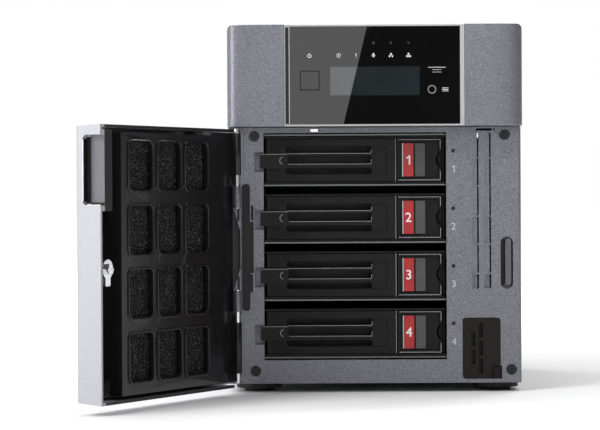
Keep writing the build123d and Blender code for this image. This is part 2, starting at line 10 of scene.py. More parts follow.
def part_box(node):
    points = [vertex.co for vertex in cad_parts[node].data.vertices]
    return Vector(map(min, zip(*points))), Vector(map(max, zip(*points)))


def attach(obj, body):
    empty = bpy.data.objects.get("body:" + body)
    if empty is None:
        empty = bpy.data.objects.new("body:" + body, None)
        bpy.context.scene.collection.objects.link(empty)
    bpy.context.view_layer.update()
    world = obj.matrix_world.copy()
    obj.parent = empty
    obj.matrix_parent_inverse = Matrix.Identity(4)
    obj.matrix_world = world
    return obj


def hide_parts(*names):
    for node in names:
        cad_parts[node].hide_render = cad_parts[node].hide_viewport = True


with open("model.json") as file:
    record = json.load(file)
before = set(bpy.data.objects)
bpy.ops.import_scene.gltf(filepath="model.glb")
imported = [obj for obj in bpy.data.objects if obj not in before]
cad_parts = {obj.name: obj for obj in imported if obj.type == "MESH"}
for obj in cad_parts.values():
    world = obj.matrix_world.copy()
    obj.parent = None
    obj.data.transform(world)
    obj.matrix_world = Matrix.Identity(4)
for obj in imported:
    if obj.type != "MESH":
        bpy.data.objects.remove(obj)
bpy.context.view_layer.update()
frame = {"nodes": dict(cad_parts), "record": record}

scene = bpy.context.scene
nodes = frame["nodes"]
MM = 0.001
rng = random.Random(7)

# ------------------------------------------------------------------ positions
PITCH = 33.45
ZC = [134.9 - PITCH * i for i in range(4)]
HX, HY, TH = -79.75, 6.0, math.radians(117.4)


def door_pt(u, n, z):
    """A point on the open door: u from the hinge to the free edge, n out of its inner face."""
    return Vector((HX + u * math.cos(TH) + n * math.sin(TH), HY - u * math.sin(TH) + n * math.cos(TH), z)) * MM


# ------------------------------------------------------------------ materials
def material(name):
    m = bpy.data.materials.new(name)
    m.use_nodes = True
    nt = m.node_tree
    return m, nt, nt.nodes["Principled BSDF"]


def link(nt, a, b):
    nt.links.new(a, b)


def coords(nt, scale=(1, 1, 1)):
    tc = nt.nodes.new("ShaderNodeTexCoord")
    if scale == (1, 1, 1):
        return tc.outputs["Object"]
    mp = nt.nodes.new("ShaderNodeMapping")
    mp.inputs["Scale"].default_value = scale
    link(nt, tc.outputs["Object"], mp.inputs["Vector"])
    return mp.outputs["Vector"]


def noise_tex(nt, vec, size_mm, detail=3.0, rough=0.55):
    n = nt.nodes.new("ShaderNodeTexNoise")
    n.inputs["Scale"].default_value = 1000.0 / size_mm
    n.inputs["Detail"].default_value = detail
    n.inputs["Roughness"].default_value = rough
    link(nt, vec, n.inputs["Vector"])
    return n.outputs["Fac"]


def ramp(nt, fac, stops):
    r = nt.nodes.new("ShaderNodeValToRGB")
    els = r.color_ramp.elements
    while len(els) < len(stops):
        els.new(0.5)
    for e, (p, c) in zip(els, stops):
        e.position = p
        e.color = (*c, 1) if len(c) == 3 else c
    link(nt, fac, r.inputs["Fac"])
    return r.outputs["Color"]


def grey(v):
    return (v, v, v)


def bump(nt, bsdf, height, dist_mm, strength=1.0):
    b = nt.nodes.new("ShaderNodeBump")
    b.inputs["Distance"].default_value = dist_mm * MM
    b.inputs["Strength"].default_value = strength
    link(nt, height, b.inputs["Height"])
    link(nt, b.outputs["Normal"], bsdf.inputs["Normal"])
    return b


def grained(name, dark, light, size, rough, metallic=0.0, bump_mm=0.05, spec=0.5, coat=0.0, coat_rough=0.1, detail=3.0, span=(0.35, 0.65)):
    """A finish whose colour, roughness and relief all vary with a fine grain."""
    m, nt, b = material(name)
    v = coords(nt)
    g = noise_tex(nt, v, size, detail)
    link(nt, ramp(nt, g, [(span[0], dark), (span[1], light)]), b.inputs["Base Color"])
    broad = noise_tex(nt, v, size * 22, 2.0)
    link(nt, ramp(nt, broad, [(0.3, grey(rough * 0.9)), (0.7, grey(min(1, rough * 1.12)))]), b.inputs["Roughness"])
    b.inputs["Metallic"].default_value = metallic
    b.inputs["Specular IOR Level"].default_value = spec
    b.inputs["Coat Weight"].default_value = coat
    b.inputs["Coat Roughness"].default_value = coat_rough
    if bump_mm:
        bump(nt, b, g, bump_mm)
    return m


def flake_paint(name, base, spread, flake, rough=0.42, grain=0.95, relief=0.035):
    """Textured metallic paint: leathery grain, with single flakes that catch the light."""
    m, nt, b = material(name)
    v = coords(nt)
    g = noise_tex(nt, v, grain, 4.0, 0.7)
    lo = tuple(c * (1 - spread) for c in base)
    hi = tuple(c * (1 + spread) for c in base)
    body = ramp(nt, g, [(0.36, lo), (0.64, hi)])
    vor = nt.nodes.new("ShaderNodeTexVoronoi")
    vor.inputs["Scale"].default_value = 1000.0 / 0.30
    link(nt, v, vor.inputs["Vector"])
    sep = nt.nodes.new("ShaderNodeSeparateColor")
    link(nt, vor.outputs["Color"], sep.inputs["Color"])
    mask = ramp(nt, sep.outputs["Red"], [(0.86, grey(0)), (1.0, grey(1))])
    mix = nt.nodes.new("ShaderNodeMix")
    mix.data_type = "RGBA"
    link(nt, mask, mix.inputs[0])
    link(nt, body, mix.inputs[6])
    mix.inputs[7].default_value = (*flake, 1)
    link(nt, mix.outputs[2], b.inputs["Base Color"])
    link(nt, ramp(nt, sep.outputs["Green"], [(0.0, grey(rough * 0.8)), (1.0, grey(rough * 1.2))]), b.inputs["Roughness"])
    b.inputs["Metallic"].default_value = 0.62
    bump(nt, b, g, relief)
    return m


def door_paint():
    """Satin light grey, darker on the recessed plate of the finger pull."""
    m, nt, b = material("door paint")
    v = coords(nt)
    g = noise_tex(nt, v, 0.5, 3.0)
    body = ramp(nt, g, [(0.35, (0.335, 0.335, 0.365)), (0.65, (0.395, 0.395, 0.425))])
    dark = ramp(nt, g, [(0.35, (0.105, 0.105, 0.115)), (0.65, (0.135, 0.135, 0.147))])

    def along(axis, offset):
        d = nt.nodes.new("ShaderNodeVectorMath")
        d.operation = "DOT_PRODUCT"
        d.inputs[1].default_value = axis
        link(nt, v, d.inputs[0])
        a = nt.nodes.new("ShaderNodeMath")
        a.operation = "ADD"
        a.inputs[1].default_value = offset
        link(nt, d.outputs["Value"], a.inputs[0])
        return a.outputs[0]

    def over(value, limit, more=True):
        c = nt.nodes.new("ShaderNodeMath")
        c.operation = "GREATER_THAN" if more else "LESS_THAN"
        c.inputs[1].default_value = limit * MM
        link(nt, value, c.inputs[0])
        return c.outputs[0]

    def both(a, c):
        k = nt.nodes.new("ShaderNodeMath")
        k.operation = "MULTIPLY"
        link(nt, a, k.inputs[0])
        link(nt, c, k.inputs[1])
        return k.outputs[0]

    ua, na = (math.cos(TH), -math.sin(TH), 0), (math.sin(TH), math.cos(TH), 0)
    u = along(ua, -(HX * ua[0] + HY * ua[1]) * MM)
    n = along(na, -(HX * na[0] + HY * na[1]) * MM)
    z = along((0, 0, 1), 0.0)
    on = both(both(over(z, 109.9), over(z, 146.7, False)), both(over(n, 1.3), both(over(u, 158.0), over(u, 162.5, False))))
    mix = nt.nodes.new("ShaderNodeMix")
    mix.data_type = "RGBA"
    link(nt, on, mix.inputs[0])
    link(nt, body, mix.inputs[6])
    link(nt, dark, mix.inputs[7])
    rim = both(over(n, 9.3), over(u, 160.0, False))
    mix2 = nt.nodes.new("ShaderNodeMix")
    mix2.data_type = "RGBA"
    link(nt, rim, mix2.inputs[0])
    link(nt, mix.outputs[2], mix2.inputs[6])
    mix2.inputs[7].default_value = (0.010, 0.010, 0.011, 1)
    link(nt, mix2.outputs[2], b.inputs["Base Color"])
    link(nt, ramp(nt, g, [(0.3, grey(0.36)), (0.7, grey(0.46))]), b.inputs["Roughness"])
    b.inputs["Metallic"].default_value = 0.2
    bump(nt, b, g, 0.01)
    return m


def brushed(name, base, rough, axis_scale, relief=0.01):
    m, nt, b = material(name)
    v = coords(nt, axis_scale)
    g = noise_tex(nt, v, 0.25, 3.0)
    link(nt, ramp(nt, g, [(0.3, tuple(c * 0.88 for c in base)), (0.7, tuple(min(1, c * 1.1) for c in base))]), b.inputs["Base Color"])
    link(nt, ramp(nt, g, [(0.3, grey(rough * 0.8)), (0.7, grey(rough * 1.25))]), b.inputs["Roughness"])
    b.inputs["Metallic"].default_value = 1.0
    bump(nt, b, g, relief)
    return m


M = {
    "cover_paint": flake_paint("cover paint", (0.165, 0.165, 0.187), 0.38, (0.28, 0.28, 0.31), grain=0.42),
    "bezel_paint": flake_paint("bezel paint", (0.165, 0.165, 0.190), 0.50, (0.31, 0.31, 0.35), grain=0.42),
    "door_paint": door_paint(),
    # black plastic, also used for pieces of painted shade
    "black_plastic": grained("black plastic and painted shade", (0.006, 0.006, 0.007), (0.011, 0.011, 0.012), 0.5, 0.38, bump_mm=0.015, spec=0.3),
    "gloss_black": grained("gloss black", (0.0012, 0.0010, 0.0011), (0.0020, 0.0017, 0.0018), 30, 0.004, bump_mm=0, spec=0.5),
    "display_lens": grained("display lens", (0.009, 0.0130, 0.0150), (0.011, 0.016, 0.0185), 14, 0.004, bump_mm=0, spec=0.85),
    "silver_trim": brushed("silver trim", (0.42, 0.42, 0.43), 0.36, (1, 1, 0.05), 0.001),
    "lamp_lens": grained("lamp lens", (0.008, 0.007, 0.007), (0.014, 0.012, 0.012), 2, 0.15, bump_mm=0, coat=0.5),
    "sheet_steel": brushed("sheet steel", (0.50, 0.51, 0.52), 0.34, (1, 0.06, 1)),
    "bright_steel": brushed("bright steel", (0.72, 0.72, 0.74), 0.16, (1, 1, 0.2), 0.004),
    "black_steel": grained("black steel and painted shade", (0.004, 0.004, 0.004), (0.008, 0.008, 0.008), 0.6, 0.32, 0.0, 0.015, spec=0.3),
    # painted shade: the drives get a near-black colour so that their fronts seen through the lever slots read as the
    # shade inside the bays
    "drive_metal": grained("drive metal darkened as painted shade", (0.010, 0.009, 0.009), (0.020, 0.018, 0.018), 0.9, 0.45, 0.1, 0.02, spec=0.3),
    "circuit_board": grained("circuit board", (0.008, 0.055, 0.028), (0.014, 0.085, 0.042), 3.0, 0.33, bump_mm=0.02, span=(0.45, 0.55)),
    "connector_black": grained("connector black", (0.008, 0.008, 0.008), (0.013, 0.013, 0.013), 0.5, 0.4, bump_mm=0.015),
    "heat_sink_metal": brushed("heat sink", (0.6, 0.6, 0.62), 0.3, (1, 1, 0.1)),
    # painted glints: the light specks in the foam's colour stand for light caught by the fibres of the near-black foam
    "filter_foam": grained("filter foam", (0.0012, 0.0011, 0.0011), (0.30, 0.285, 0.28), 0.75, 0.85, bump_mm=0.3, spec=0.2, detail=3.0, span=(0.56, 0.76)),
    "foot_rubber": grained("foot rubber", (0.012, 0.012, 0.012), (0.02, 0.02, 0.02), 0.8, 0.75, bump_mm=0.04),
    "vent_brown": grained("vent plastic", (0.007, 0.0045, 0.004), (0.011, 0.008, 0.007), 0.5, 0.36, bump_mm=0.015, spec=0.18),
}
RED = grained("label red", (0.34, 0.007, 0.010), (0.42, 0.010, 0.013), 4.0, 0.42, bump_mm=0.01)
WHITE = grained("print white", (0.74, 0.74, 0.74), (0.84, 0.84, 0.84), 1.0, 0.5, bump_mm=0)
# grey for printed marks, also used for a painted highlight on the display key
PRINT_AND_HIGHLIGHT_GREY = grained("print and painted highlight grey", (0.44, 0.44, 0.47), (0.54, 0.54, 0.57), 1.0, 0.5, bump_mm=0)
LABEL_GREY = grained("label grey", (0.045, 0.045, 0.05), (0.085, 0.085, 0.092), 0.55, 0.5, bump_mm=0.05)
TRAY_FACE = grained("tray satin", (0.0045, 0.0045, 0.005), (0.009, 0.009, 0.010), 0.6, 0.34, bump_mm=0.015, spec=0.17)
LINER = grained("liner plastic", (0.006, 0.006, 0.0066), (0.011, 0.011, 0.012), 0.7, 0.24, bump_mm=0.01, spec=0.4)
GOLD = grained("contact gold", (0.75, 0.52, 0.20), (0.85, 0.60, 0.26), 1.2, 0.22, 1.0, 0.004)
BRASS = grained("pin brass", (0.62, 0.60, 0.55), (0.72, 0.70, 0.64), 1.2, 0.24, 1.0, 0.004)
# painted highlight: a light grey for strips laid along edges that catch the light
PAINTED_HIGHLIGHT_GREY = grained("painted edge highlight", (0.20, 0.20, 0.21), (0.27, 0.27, 0.28), 1.0, 0.25, 0.3, 0.002)
CAGE_STEEL = brushed("cage steel", (0.17, 0.17, 0.175), 0.42, (1, 0.06, 1), 0.004)
GUNMETAL = grained("gunmetal", (0.10, 0.10, 0.11), (0.15, 0.15, 0.16), 0.6, 0.25, 0.6, 0.01)
# pale for the fan hub sticker, also used for a painted highlight on the finger pull
PALE = grained("pale sticker and painted highlight", (0.60, 0.60, 0.62), (0.68, 0.68, 0.70), 6.0, 0.55, bump_mm=0.01)

PORT_STEEL = brushed("port steel", (0.26, 0.26, 0.265), 0.5, (1, 0.06, 1), 0.004)
GUARD_STEEL = brushed("guard wire", (0.36, 0.36, 0.365), 0.42, (1, 1, 1), 0.004)
SCREW_BLACK = grained("screw black", (0.006, 0.006, 0.007), (0.012, 0.012, 0.013), 0.6, 0.34, bump_mm=0.01, spec=0.35)

own = {}
for s in frame["record"]["subparts"]:
    own[s["node"]] = s["material_slot"]
for name, o in nodes.items():
    mat = M[own[name]]
    if name.startswith("tray_lever") or name.startswith("tray_latch") or name.startswith("tray_"):
        mat = TRAY_FACE
    if name == "door_liner":
        mat = LINER
    if name == "drive_cage":
        mat = CAGE_STEEL
    if name == "lock_strike":
        mat = GUNMETAL
    if name == "drive_connectors":
        mat = M["connector_black"]
    if name in ("io_ports", "cover_screws"):
        mat = PORT_STEEL
    if name == "fan_guard":
        mat = GUARD_STEEL
    if name == "bezel_screws":
        mat = SCREW_BLACK
    if name == "bay_light_pipes":
        mat = SCREW_BLACK
    if not o.material_slots:
        o.data.materials.append(mat)
    for sl in o.material_slots:
        sl.material = mat

# small rounded edges, so that edges catch the light as moulded and folded ones do
EDGE = {
    "outer_cover": 0.5, "front_bezel": 0.3, "head_bezel": 0.45,
    "door_liner": 0.35, "vent_plate": 0.25, "reset_button": 0.3, "power_button": 0.3, "display_button": 0.3, "function_button": 0.25,
    "lock_strike": 0.4, "hinge_bracket": 0.3, "fan_frame": 0.3, "ac_inlet": 0.3, "feet": 0.4, "lock_housing": 0.2, "lock_cam": 0.2,
    "bezel_screws": 0.15, "rear_panel": 0.2,
}
for i in range(1, 5):
    EDGE["tray_lever_%d" % i] = 0.3
    EDGE["tray_latch_%d" % i] = 0.3
    EDGE["tray_%d" % i] = 0.25
for name, w in EDGE.items():
    o = nodes[name]
    weld = o.modifiers.new("weld", "WELD")
    weld.merge_threshold = 0.000005
    bv = o.modifiers.new("edge", "BEVEL")
    bv.width = w * MM
    bv.segments = 2
    bv.limit_method = "ANGLE"
    bv.angle_limit = math.radians(38)
    bv.use_clamp_overlap = True
    bv.harden_normals = False


# -------------------------------------------------------------- mesh builders
def finish_mesh(bm, name, mat, body, smooth=False):
    bmesh.ops.recalc_face_normals(bm, faces=bm.faces)
    me = bpy.data.meshes.new(name)
    bm.to_mesh(me)
    bm.free()
    for p in me.polygons:
        p.use_smooth = smooth
    me.materials.append(mat)
    o = bpy.data.objects.new(name, me)
    scene.collection.objects.link(o)
    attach(o, body)
    return o


def add_block(bm, lo, hi, r=0.0, seg=2):
    """A block with rounded edges, corners in mm."""
    res = bmesh.ops.create_cube(bm, size=1.0)
    vs = res["verts"]
    for v in vs:
        v.co = Vector([(lo[k] + hi[k]) / 2 + v.co[k] * (hi[k] - lo[k]) for k in range(3)]) * MM
    if r:
        es = list({e for v in vs for e in v.link_edges})
        bmesh.ops.bevel(bm, geom=es, offset=r * MM, segments=seg, affect="EDGES", profile=0.5)


def add_ring(bm, c, r_in, r_out, y0, y1, a0=0.0, a1=360.0, seg=40):
    """A flat ring or arc in the XZ plane, from y0 to y1, in mm; angles from +Z, clockwise from the front."""
    full = abs(a1 - a0) >= 360
    n = seg
    rows = []
    for k in range(n if full else n + 1):
        a = math.radians(a0 + (a1 - a0) * k / n)
        s, co = math.sin(a), math.cos(a)
        rows.append([bm.verts.new(Vector((c[0] + r * s, y, c[1] + r * co)) * MM) for r, y in ((r_in, y0), (r_out, y0), (r_out, y1), (r_in, y1))])
    m = len(rows)
    for k in range(m if full else m - 1):
        a, b = rows[k], rows[(k + 1) % m]
        for j in range(4):
            bm.faces.new((a[j], a[(j + 1) % 4], b[(j + 1) % 4], b[j]))
    if not full:
        bm.faces.new(rows[0])
        bm.faces.new(rows[-1])


def add_disc(bm, c, r, y0, y1, dome=0.0, seg=40):
    """A disc facing the front with a slightly rounded rim."""
    prof = [(r, y1), (r, y0 + 0.25 * (y1 - y0)), (r * 0.94, y0 + 0.02 * (y1 - y0)), (r * 0.5, y0 - dome * 0.7), (0.0001, y0 - dome)]
    rows = []
    for k in range(seg):
        a = 2 * math.pi * k / seg
        rows.append([bm.verts.new(Vector((c[0] + p * math.sin(a), y, c[1] + p * math.cos(a))) * MM) for p, y in prof])
    for k in range(seg):
        a, b = rows[k], rows[(k + 1) % seg]
        for j in range(len(prof) - 1):
            bm.faces.new((a[j], a[j + 1], b[j + 1], b[j]))
    bm.faces.new([r_[0] for r_ in rows])
    bmesh.ops.remove_doubles(bm, verts=bm.verts, dist=1e-7)


def numeral_one(height, cx, cz, y, name, mat, body, depth):
    pts = [(0.07, -0.5), (0.21, -0.5), (0.21, 0.5), (0.10, 0.5), (0.02, 0.36), (-0.20, 0.27), (-0.20, 0.14), (0.07, 0.24)]
    bm = bmesh.new()
    rows = []
    for yy in (y - depth / 2, y + depth / 2):
        rows.append([bm.verts.new(Vector((cx + a * height, yy, cz + b * height)) * MM) for a, b in pts])
    n = len(pts)
    for k in range(n):
        bm.faces.new((rows[0][k], rows[0][(k + 1) % n], rows[1][(k + 1) % n], rows[1][k]))
    bm.faces.new(rows[0])
    bm.faces.new(rows[1])
    return finish_mesh(bm, name, mat, body)


def glyph(text, height, cx, cz, y, name, mat, body, depth=0.04, bold=0.0):
    """A plain numeral, facing the front, printed as a thin raised skin."""
    if text == "1":
        return numeral_one(height, cx, cz, y, name, mat, body, depth)
    cu = bpy.data.curves.new(name + "_line", "FONT")
    cu.body = text
    cu.size = height / 0.7 * MM
    cu.extrude = depth / 2 * MM
    cu.offset = bold * MM
    cu.resolution_u = 6
    tmp = bpy.data.objects.new(name + "_line", cu)
    scene.collection.objects.link(tmp)
    bpy.context.view_layer.update()
    me = bpy.data.meshes.new_from_object(tmp.evaluated_get(bpy.context.evaluated_depsgraph_get()))
    bpy.data.objects.remove(tmp)
    me.name = name
    xs = [v.co.x for v in me.vertices]
    ys = [v.co.y for v in me.vertices]
    ox, oy = (min(xs) + max(xs)) / 2, (min(ys) + max(ys)) / 2
    for v in me.vertices:
        x, yy, z = v.co
        v.co = Vector((cx * MM + x - ox, y * MM - z, cz * MM + yy - oy))
    me.materials.clear()
    me.materials.append(mat)
    o = bpy.data.objects.new(name, me)
    scene.collection.objects.link(o)
    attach(o, body)
    return o


# ------------------------------------------------------------- filter foam
def foam_pad():
    u0, u1, z0, z1, nb, nf = 37.0, 141.5, 11.2, 146.4, 3.6, 7.3
    nu, nz = 150, 194
    bm = bmesh.new()
    grid = []
    for i in range(nu + 1):
        row = []
        for j in range(nz + 1):
            u = u0 + (u1 - u0) * i / nu
            z = z0 + (z1 - z0) * j / nz
            p = Vector((u, z, 0.0))
            h = 0.5 + 0.5 * noise.noise(p / 1.5)
            h = 0.55 * h + 0.45 * (0.5 + 0.5 * noise.noise(p / 0.75 + Vector((9.1, 3.7, 1.0))))
            edge = min(u - u0, u1 - u, z - z0, z1 - z)
            drop = 1.25 * (1.0 - h) if edge > 0.5 else 0.6
            row.append(bm.verts.new(door_pt(u, nf - max(0.02, drop), z)))
        grid.append(row)
    for i in range(nu):
        for j in range(nz):
            bm.faces.new((grid[i][j], grid[i + 1][j], grid[i + 1][j + 1], grid[i][j + 1]))
    rim = [grid[i][0] for i in range(nu + 1)] + [grid[nu][j] for j in range(1, nz + 1)]
    rim += [grid[i][nz] for i in range(nu - 1, -1, -1)] + [grid[0][j] for j in range(nz - 1, 0, -1)]
    inv = Vector((math.sin(TH), math.cos(TH), 0))
    back = []
    for v in rim:
        n_now = (v.co / MM - Vector((HX, HY, 0))).dot(inv)
        back.append(bm.verts.new(v.co - inv * (n_now - nb) * MM))
    for k in range(len(rim)):
        a, b = k, (k + 1) % len(rim)
        bm.faces.new((rim[a], rim[b], back[b], back[a]))
    bm.faces.new(back)
    o = finish_mesh(bm, "filter_foam_pad", M["filter_foam"], "door", True)
    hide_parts("door_filter")


foam_pad()

# ------------------------------------------------------------ tray labels
for i, zc in enumerate(ZC, 1):
    latch = "latch_%d" % i
    bm = bmesh.new()
    add_block(bm, (17.1, 22.45, zc - 9.7), (22.9, 22.95, zc + 9.7), 0.12)
    finish_mesh(bm, "label_red_%d" % i, RED, latch)
    bm = bmesh.new()
    add_block(bm, (16.2, 22.3, zc - 9.8), (16.95, 22.95, zc + 9.8), 0.15)
    finish_mesh(bm, "label_edge_%d" % i, M["silver_trim"], latch)
    bm = bmesh.new()
    add_block(bm, (23.9, 22.5, zc - 9.7), (29.6, 22.95, zc + 9.7), 0.12)
    for k in range(24):
        z = zc - 9.2 + k * 0.8
        add_block(bm, (24.3, 22.42, z - 0.14), (29.2, 22.6, z + 0.14), 0.05, 1)
    finish_mesh(bm, "label_pad_%d" % i, LABEL_GREY, latch)
    glyph(str(i), 5.5, 19.8, zc, 22.43, "label_digit_%d" % i, WHITE, latch, bold=0.04)
    glyph(str(i), 4.0, 45.8, zc - 5.3, 16.97, "bay_digit_%d" % i, PRINT_AND_HIGHLIGHT_GREY, "case")

# painted highlights: light grey strips and arcs along the edges of the levers and latches, where light catches them
for i, zc in enumerate(ZC, 1):
    bm = bmesh.new()
    add_block(bm, (-51.2, 22.3, zc + 3.78), (-1.7, 22.6, zc + 4.18), 0.12)
    add_block(bm, (-66.0, 19.9, zc + 3.4), (-50.4, 20.15, zc + 3.8), 0.1)
    add_block(bm, (-51.2, 22.3, zc - 2.42), (-1.7, 22.6, zc - 2.02), 0.12)
    add_block(bm, (-1.95, 22.3, zc + 4.2), (-1.55, 22.6, zc + 6.2), 0.12)
    add_block(bm, (-1.95, 22.3, zc - 2.0), (-1.55, 22.6, zc + 0.4), 0.12)
    add_block(bm, (12.2, 20.88, zc - 12.6), (12.6, 21.1, zc + 12.6), 0.1)
    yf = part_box("tray_lever_%d" % i)[0].y / MM
    add_ring(bm, (-53.0, zc - 0.1), 1.85, 2.25, yf - 0.12, yf + 0.3, 190, 350, 24)
    finish_mesh(bm, "lever_edges_%d" % i, PAINTED_HIGHLIGHT_GREY, "lever_%d" % i)
    bm = bmesh.new()
    add_block(bm, (14.0, 21.05, zc + 11.6), (38.6, 21.3, zc + 12.0), 0.1)
    add_block(bm, (14.0, 21.05, zc - 12.0), (38.6, 21.3, zc - 11.5), 0.1)
    add_block(bm, (38.2, 21.05, zc + 6.4), (38.7, 21.3, zc + 11.5), 0.1)
    add_block(bm, (38.2, 21.05, zc - 11.5), (38.7, 21.3, zc - 6.4), 0.1)
    finish_mesh(bm, "latch_edges_%d" % i, PAINTED_HIGHLIGHT_GREY, "latch_%d" % i)

# dark fill of the trim's groove
# painted shade: the black fill darkens the trim's left strip, standing in for the shade on that side
bm = bmesh.new()
lo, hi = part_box("panel_trim")
add_block(bm, (-51.4, lo.y / MM + 0.25, 155.5), (-49.5, lo.y / MM + 0.9, 211.0), 0.1)
finish_mesh(bm, "trim_groove_painted_shade", M["black_plastic"], "case")


# ------------------------------------------------------- finger pull
def door_block(bm, u0, u1, n0, n1, z0, z1, r=0.1):
    a = len(bm.verts)
    add_block(bm, (u0, n0, z0), (u1, n1, z1), r)
    bm.verts.ensure_lookup_table()
    for v in list(bm.verts)[a:]:
        u, n, z = v.co / MM
        v.co = door_pt(u, n, z)


# painted shade: black blocks in the groove, along the lower edge and on the side wall of the finger pull, where shade
# falls
bm = bmesh.new()
door_block(bm, 155.1, 159.9, -1.5, 1.3, 111.1, 145.5)
door_block(bm, 160.05, 160.5, 1.4, 9.3, 109.9, 111.4)
door_block(bm, 160.2, 163.6, -1.58, -1.35, 112.0, 144.6)
door_block(bm, 160.0, 160.35, -1.5, 1.35, 111.4, 145.2)
finish_mesh(bm, "pull_groove_painted_shade", M["black_plastic"], "door")
# painted highlight: pale strips along the left and lower rim of the finger pull, where light catches its rounded edge
bm = bmesh.new()
door_block(bm, 163.6, 164.0, -1.58, -1.1, 112.2, 144.4)
door_block(bm, 163.6, 164.0, 1.0, 9.2, 109.85, 110.3)
finish_mesh(bm, "pull_rim_highlight", PALE, "door")

# rounded bead on each window rim
WIN_U = ((50.5, 77.5), (80.5, 107.3), (110.6, 137.4))
WIN_Z = ((14.5, 43.0), (48.45, 76.9), (82.4, 110.9), (116.4, 144.85))
bm = bmesh.new()
for u0, u1 in WIN_U:
    for z0, z1 in WIN_Z:
        ins, rad, tube = 0.7, 3.9, 0.55
        path = []
        for cu, cz, a0 in ((u1 - ins - rad, z1 - ins - rad, 0), (u0 + ins + rad, z1 - ins - rad, 90), (u0 + ins + rad, z0 + ins + rad, 180), (u1 - ins - rad, z0 + ins + rad, 270)):
            for k in range(9):
                a = math.radians(a0 + 90 * k / 8)
                path.append((cu + rad * math.cos(a), cz + rad * math.sin(a), math.cos(a), math.sin(a)))
        rows = []
        for pu, pz, dx, dz in path:
            row = []
            for j in range(8):
                t = 2 * math.pi * j / 8
                row.append(bm.verts.new(door_pt(pu + dx * tube * math.cos(t), 9.85 + tube * math.sin(t), pz + dz * tube * math.cos(t))))
            rows.append(row)
        for k in range(len(rows)):
            a, b = rows[k], rows[(k + 1) % len(rows)]
            for j in range(8):
                bm.faces.new((a[j], a[(j + 1) % 8], b[(j + 1) % 8], b[j]))
finish_mesh(bm, "window_rims", LINER, "door", True)

# black strip along the hinge side of the bezel, behind the arms
bm = bmesh.new()
add_block(bm, (-84.7, 16.8, 6.2), (-78.1, 17.6, 153.0), 0.2)
finish_mesh(bm, "hinge_side_black_strip", M["black_plastic"], "case")

# dark screen behind the vent plate
bm = bmesh.new()
add_block(bm, (51.5, 22.0, 9.5), (67.5, 22.4, 43.0), 0.1)
add_block(bm, (67.5, 22.0, 15.4), (73.5, 22.4, 43.0), 0.1)
finish_mesh(bm, "vent_screen", TRAY_FACE, "case")

# foam seal between the cage and the fan, at the side gap
bm = bmesh.new()
add_block(bm, (-69.5, 188.2, 62.0), (-63.0, 189.4, 106.0), 0.1)
finish_mesh(bm, "side_gap_seal", M["black_plastic"], "case")

# painted shade: black strips in the strike pocket, on each side of the bar, where the deep slot lies in shade
bm = bmesh.new()
add_block(bm, (73.15, 22.6, 61.2), (75.7, 23.35, 88.4), 0.2)
add_block(bm, (79.3, 22.6, 61.2), (80.05, 23.35, 88.4), 0.2)
finish_mesh(bm, "strike_pocket_painted_shade", M["black_plastic"], "case")

# dark gap around the power key
# painted shade: black strips on the panel stand in for the shade in the gap around the key
bm = bmesh.new()
for x0, x1, z0, z1 in ((-43.1, -42.56, 174.7, 186.1), (-32.24, -31.7, 174.7, 186.1), (-42.5, -32.3, 185.56, 186.1), (-42.5, -32.3, 174.7, 175.24)):
    add_block(bm, (x0, -0.03, z0), (x1, 0.01, z1))
finish_mesh(bm, "power_key_gap_painted_shade", M["black_steel"], "case")

# ------------------------------------------------------- panel pictograms
Y_PRINT = (-0.03, 0.01)


def marks(name, rings=(), bars=()):
    bm = bmesh.new()
    for c, ri, ro, a0, a1 in rings:
        add_ring(bm, c, ri, ro, Y_PRINT[0], Y_PRINT[1], a0, a1, 32)
    for x0, x1, z0, z1 in bars:
        add_block(bm, (x0, Y_PRINT[0], z0), (x1, Y_PRINT[1], z1))
    return finish_mesh(bm, name, WHITE, "case")


ZI = 194.7
marks("icon_standby", [((-37.6, ZI - 0.1), 0.85, 1.15, 35, 325)], [(-37.75, -37.45, ZI, ZI + 1.3)])
marks("icon_note", [((-20.8, ZI), 1.0, 1.22, 0, 360)], [(-20.95, -20.65, ZI - 0.6, ZI + 0.2), (-20.95, -20.65, ZI + 0.38, ZI + 0.66)])
marks("icon_alert", [], [(-10.98, -10.62, ZI - 0.35, ZI + 1.2), (-10.98, -10.62, ZI - 1.15, ZI - 0.75)])
for k, x in enumerate((-0.75, 9.3, 19.4), 1):
    bars = [(x - 0.5, x + 0.5, ZI + 0.35, ZI + 1.15), (x - 0.1, x + 0.1, ZI - 0.2, ZI + 0.35), (x - 1.3, x + 1.3, ZI - 0.3, ZI - 0.1)]
    bars += [(x + d - 0.32, x + d + 0.32, ZI - 1.1, ZI - 0.3) for d in ([0.0], [-0.8, 0.8], [-1.0, 0.0, 1.0])[k - 1]]
    marks("icon_link_%d" % k, [], bars)
marks("icon_menu", [], [(38.6, 42.2, 175.8 - 0.12, 175.8 + 0.16), (38.6, 42.2, 174.9 - 0.12, 174.9 + 0.16), (38.6, 42.2, 174.0 - 0.12, 174.0 + 0.16)])
bm = bmesh.new()
lo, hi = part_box("display_button")
yk = lo.y / MM
for z in (184.9, 186.3):
    add_block(bm, (33.0, yk - 0.02, z - 0.1), (38.2, yk + 0.02, z + 0.1))
# painted highlight: a light grey line along the top edge of the display key
add_block(bm, (30.5, yk - 0.03, 187.45), (40.7, yk + 0.05, 187.85), 0.05)
finish_mesh(bm, "icon_screen_and_edge_highlight", PRINT_AND_HIGHLIGHT_GREY, "display_key")
bm = bmesh.new()
lo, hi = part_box("function_button")
# painted highlight: a light grey ring on the rim of the function key
add_ring(bm, (32.7, 175.0), 1.9, 2.45, lo.y / MM - 0.03, lo.y / MM + 0.1)
finish_mesh(bm, "function_ring_highlight", PAINTED_HIGHLIGHT_GREY, "function_key")

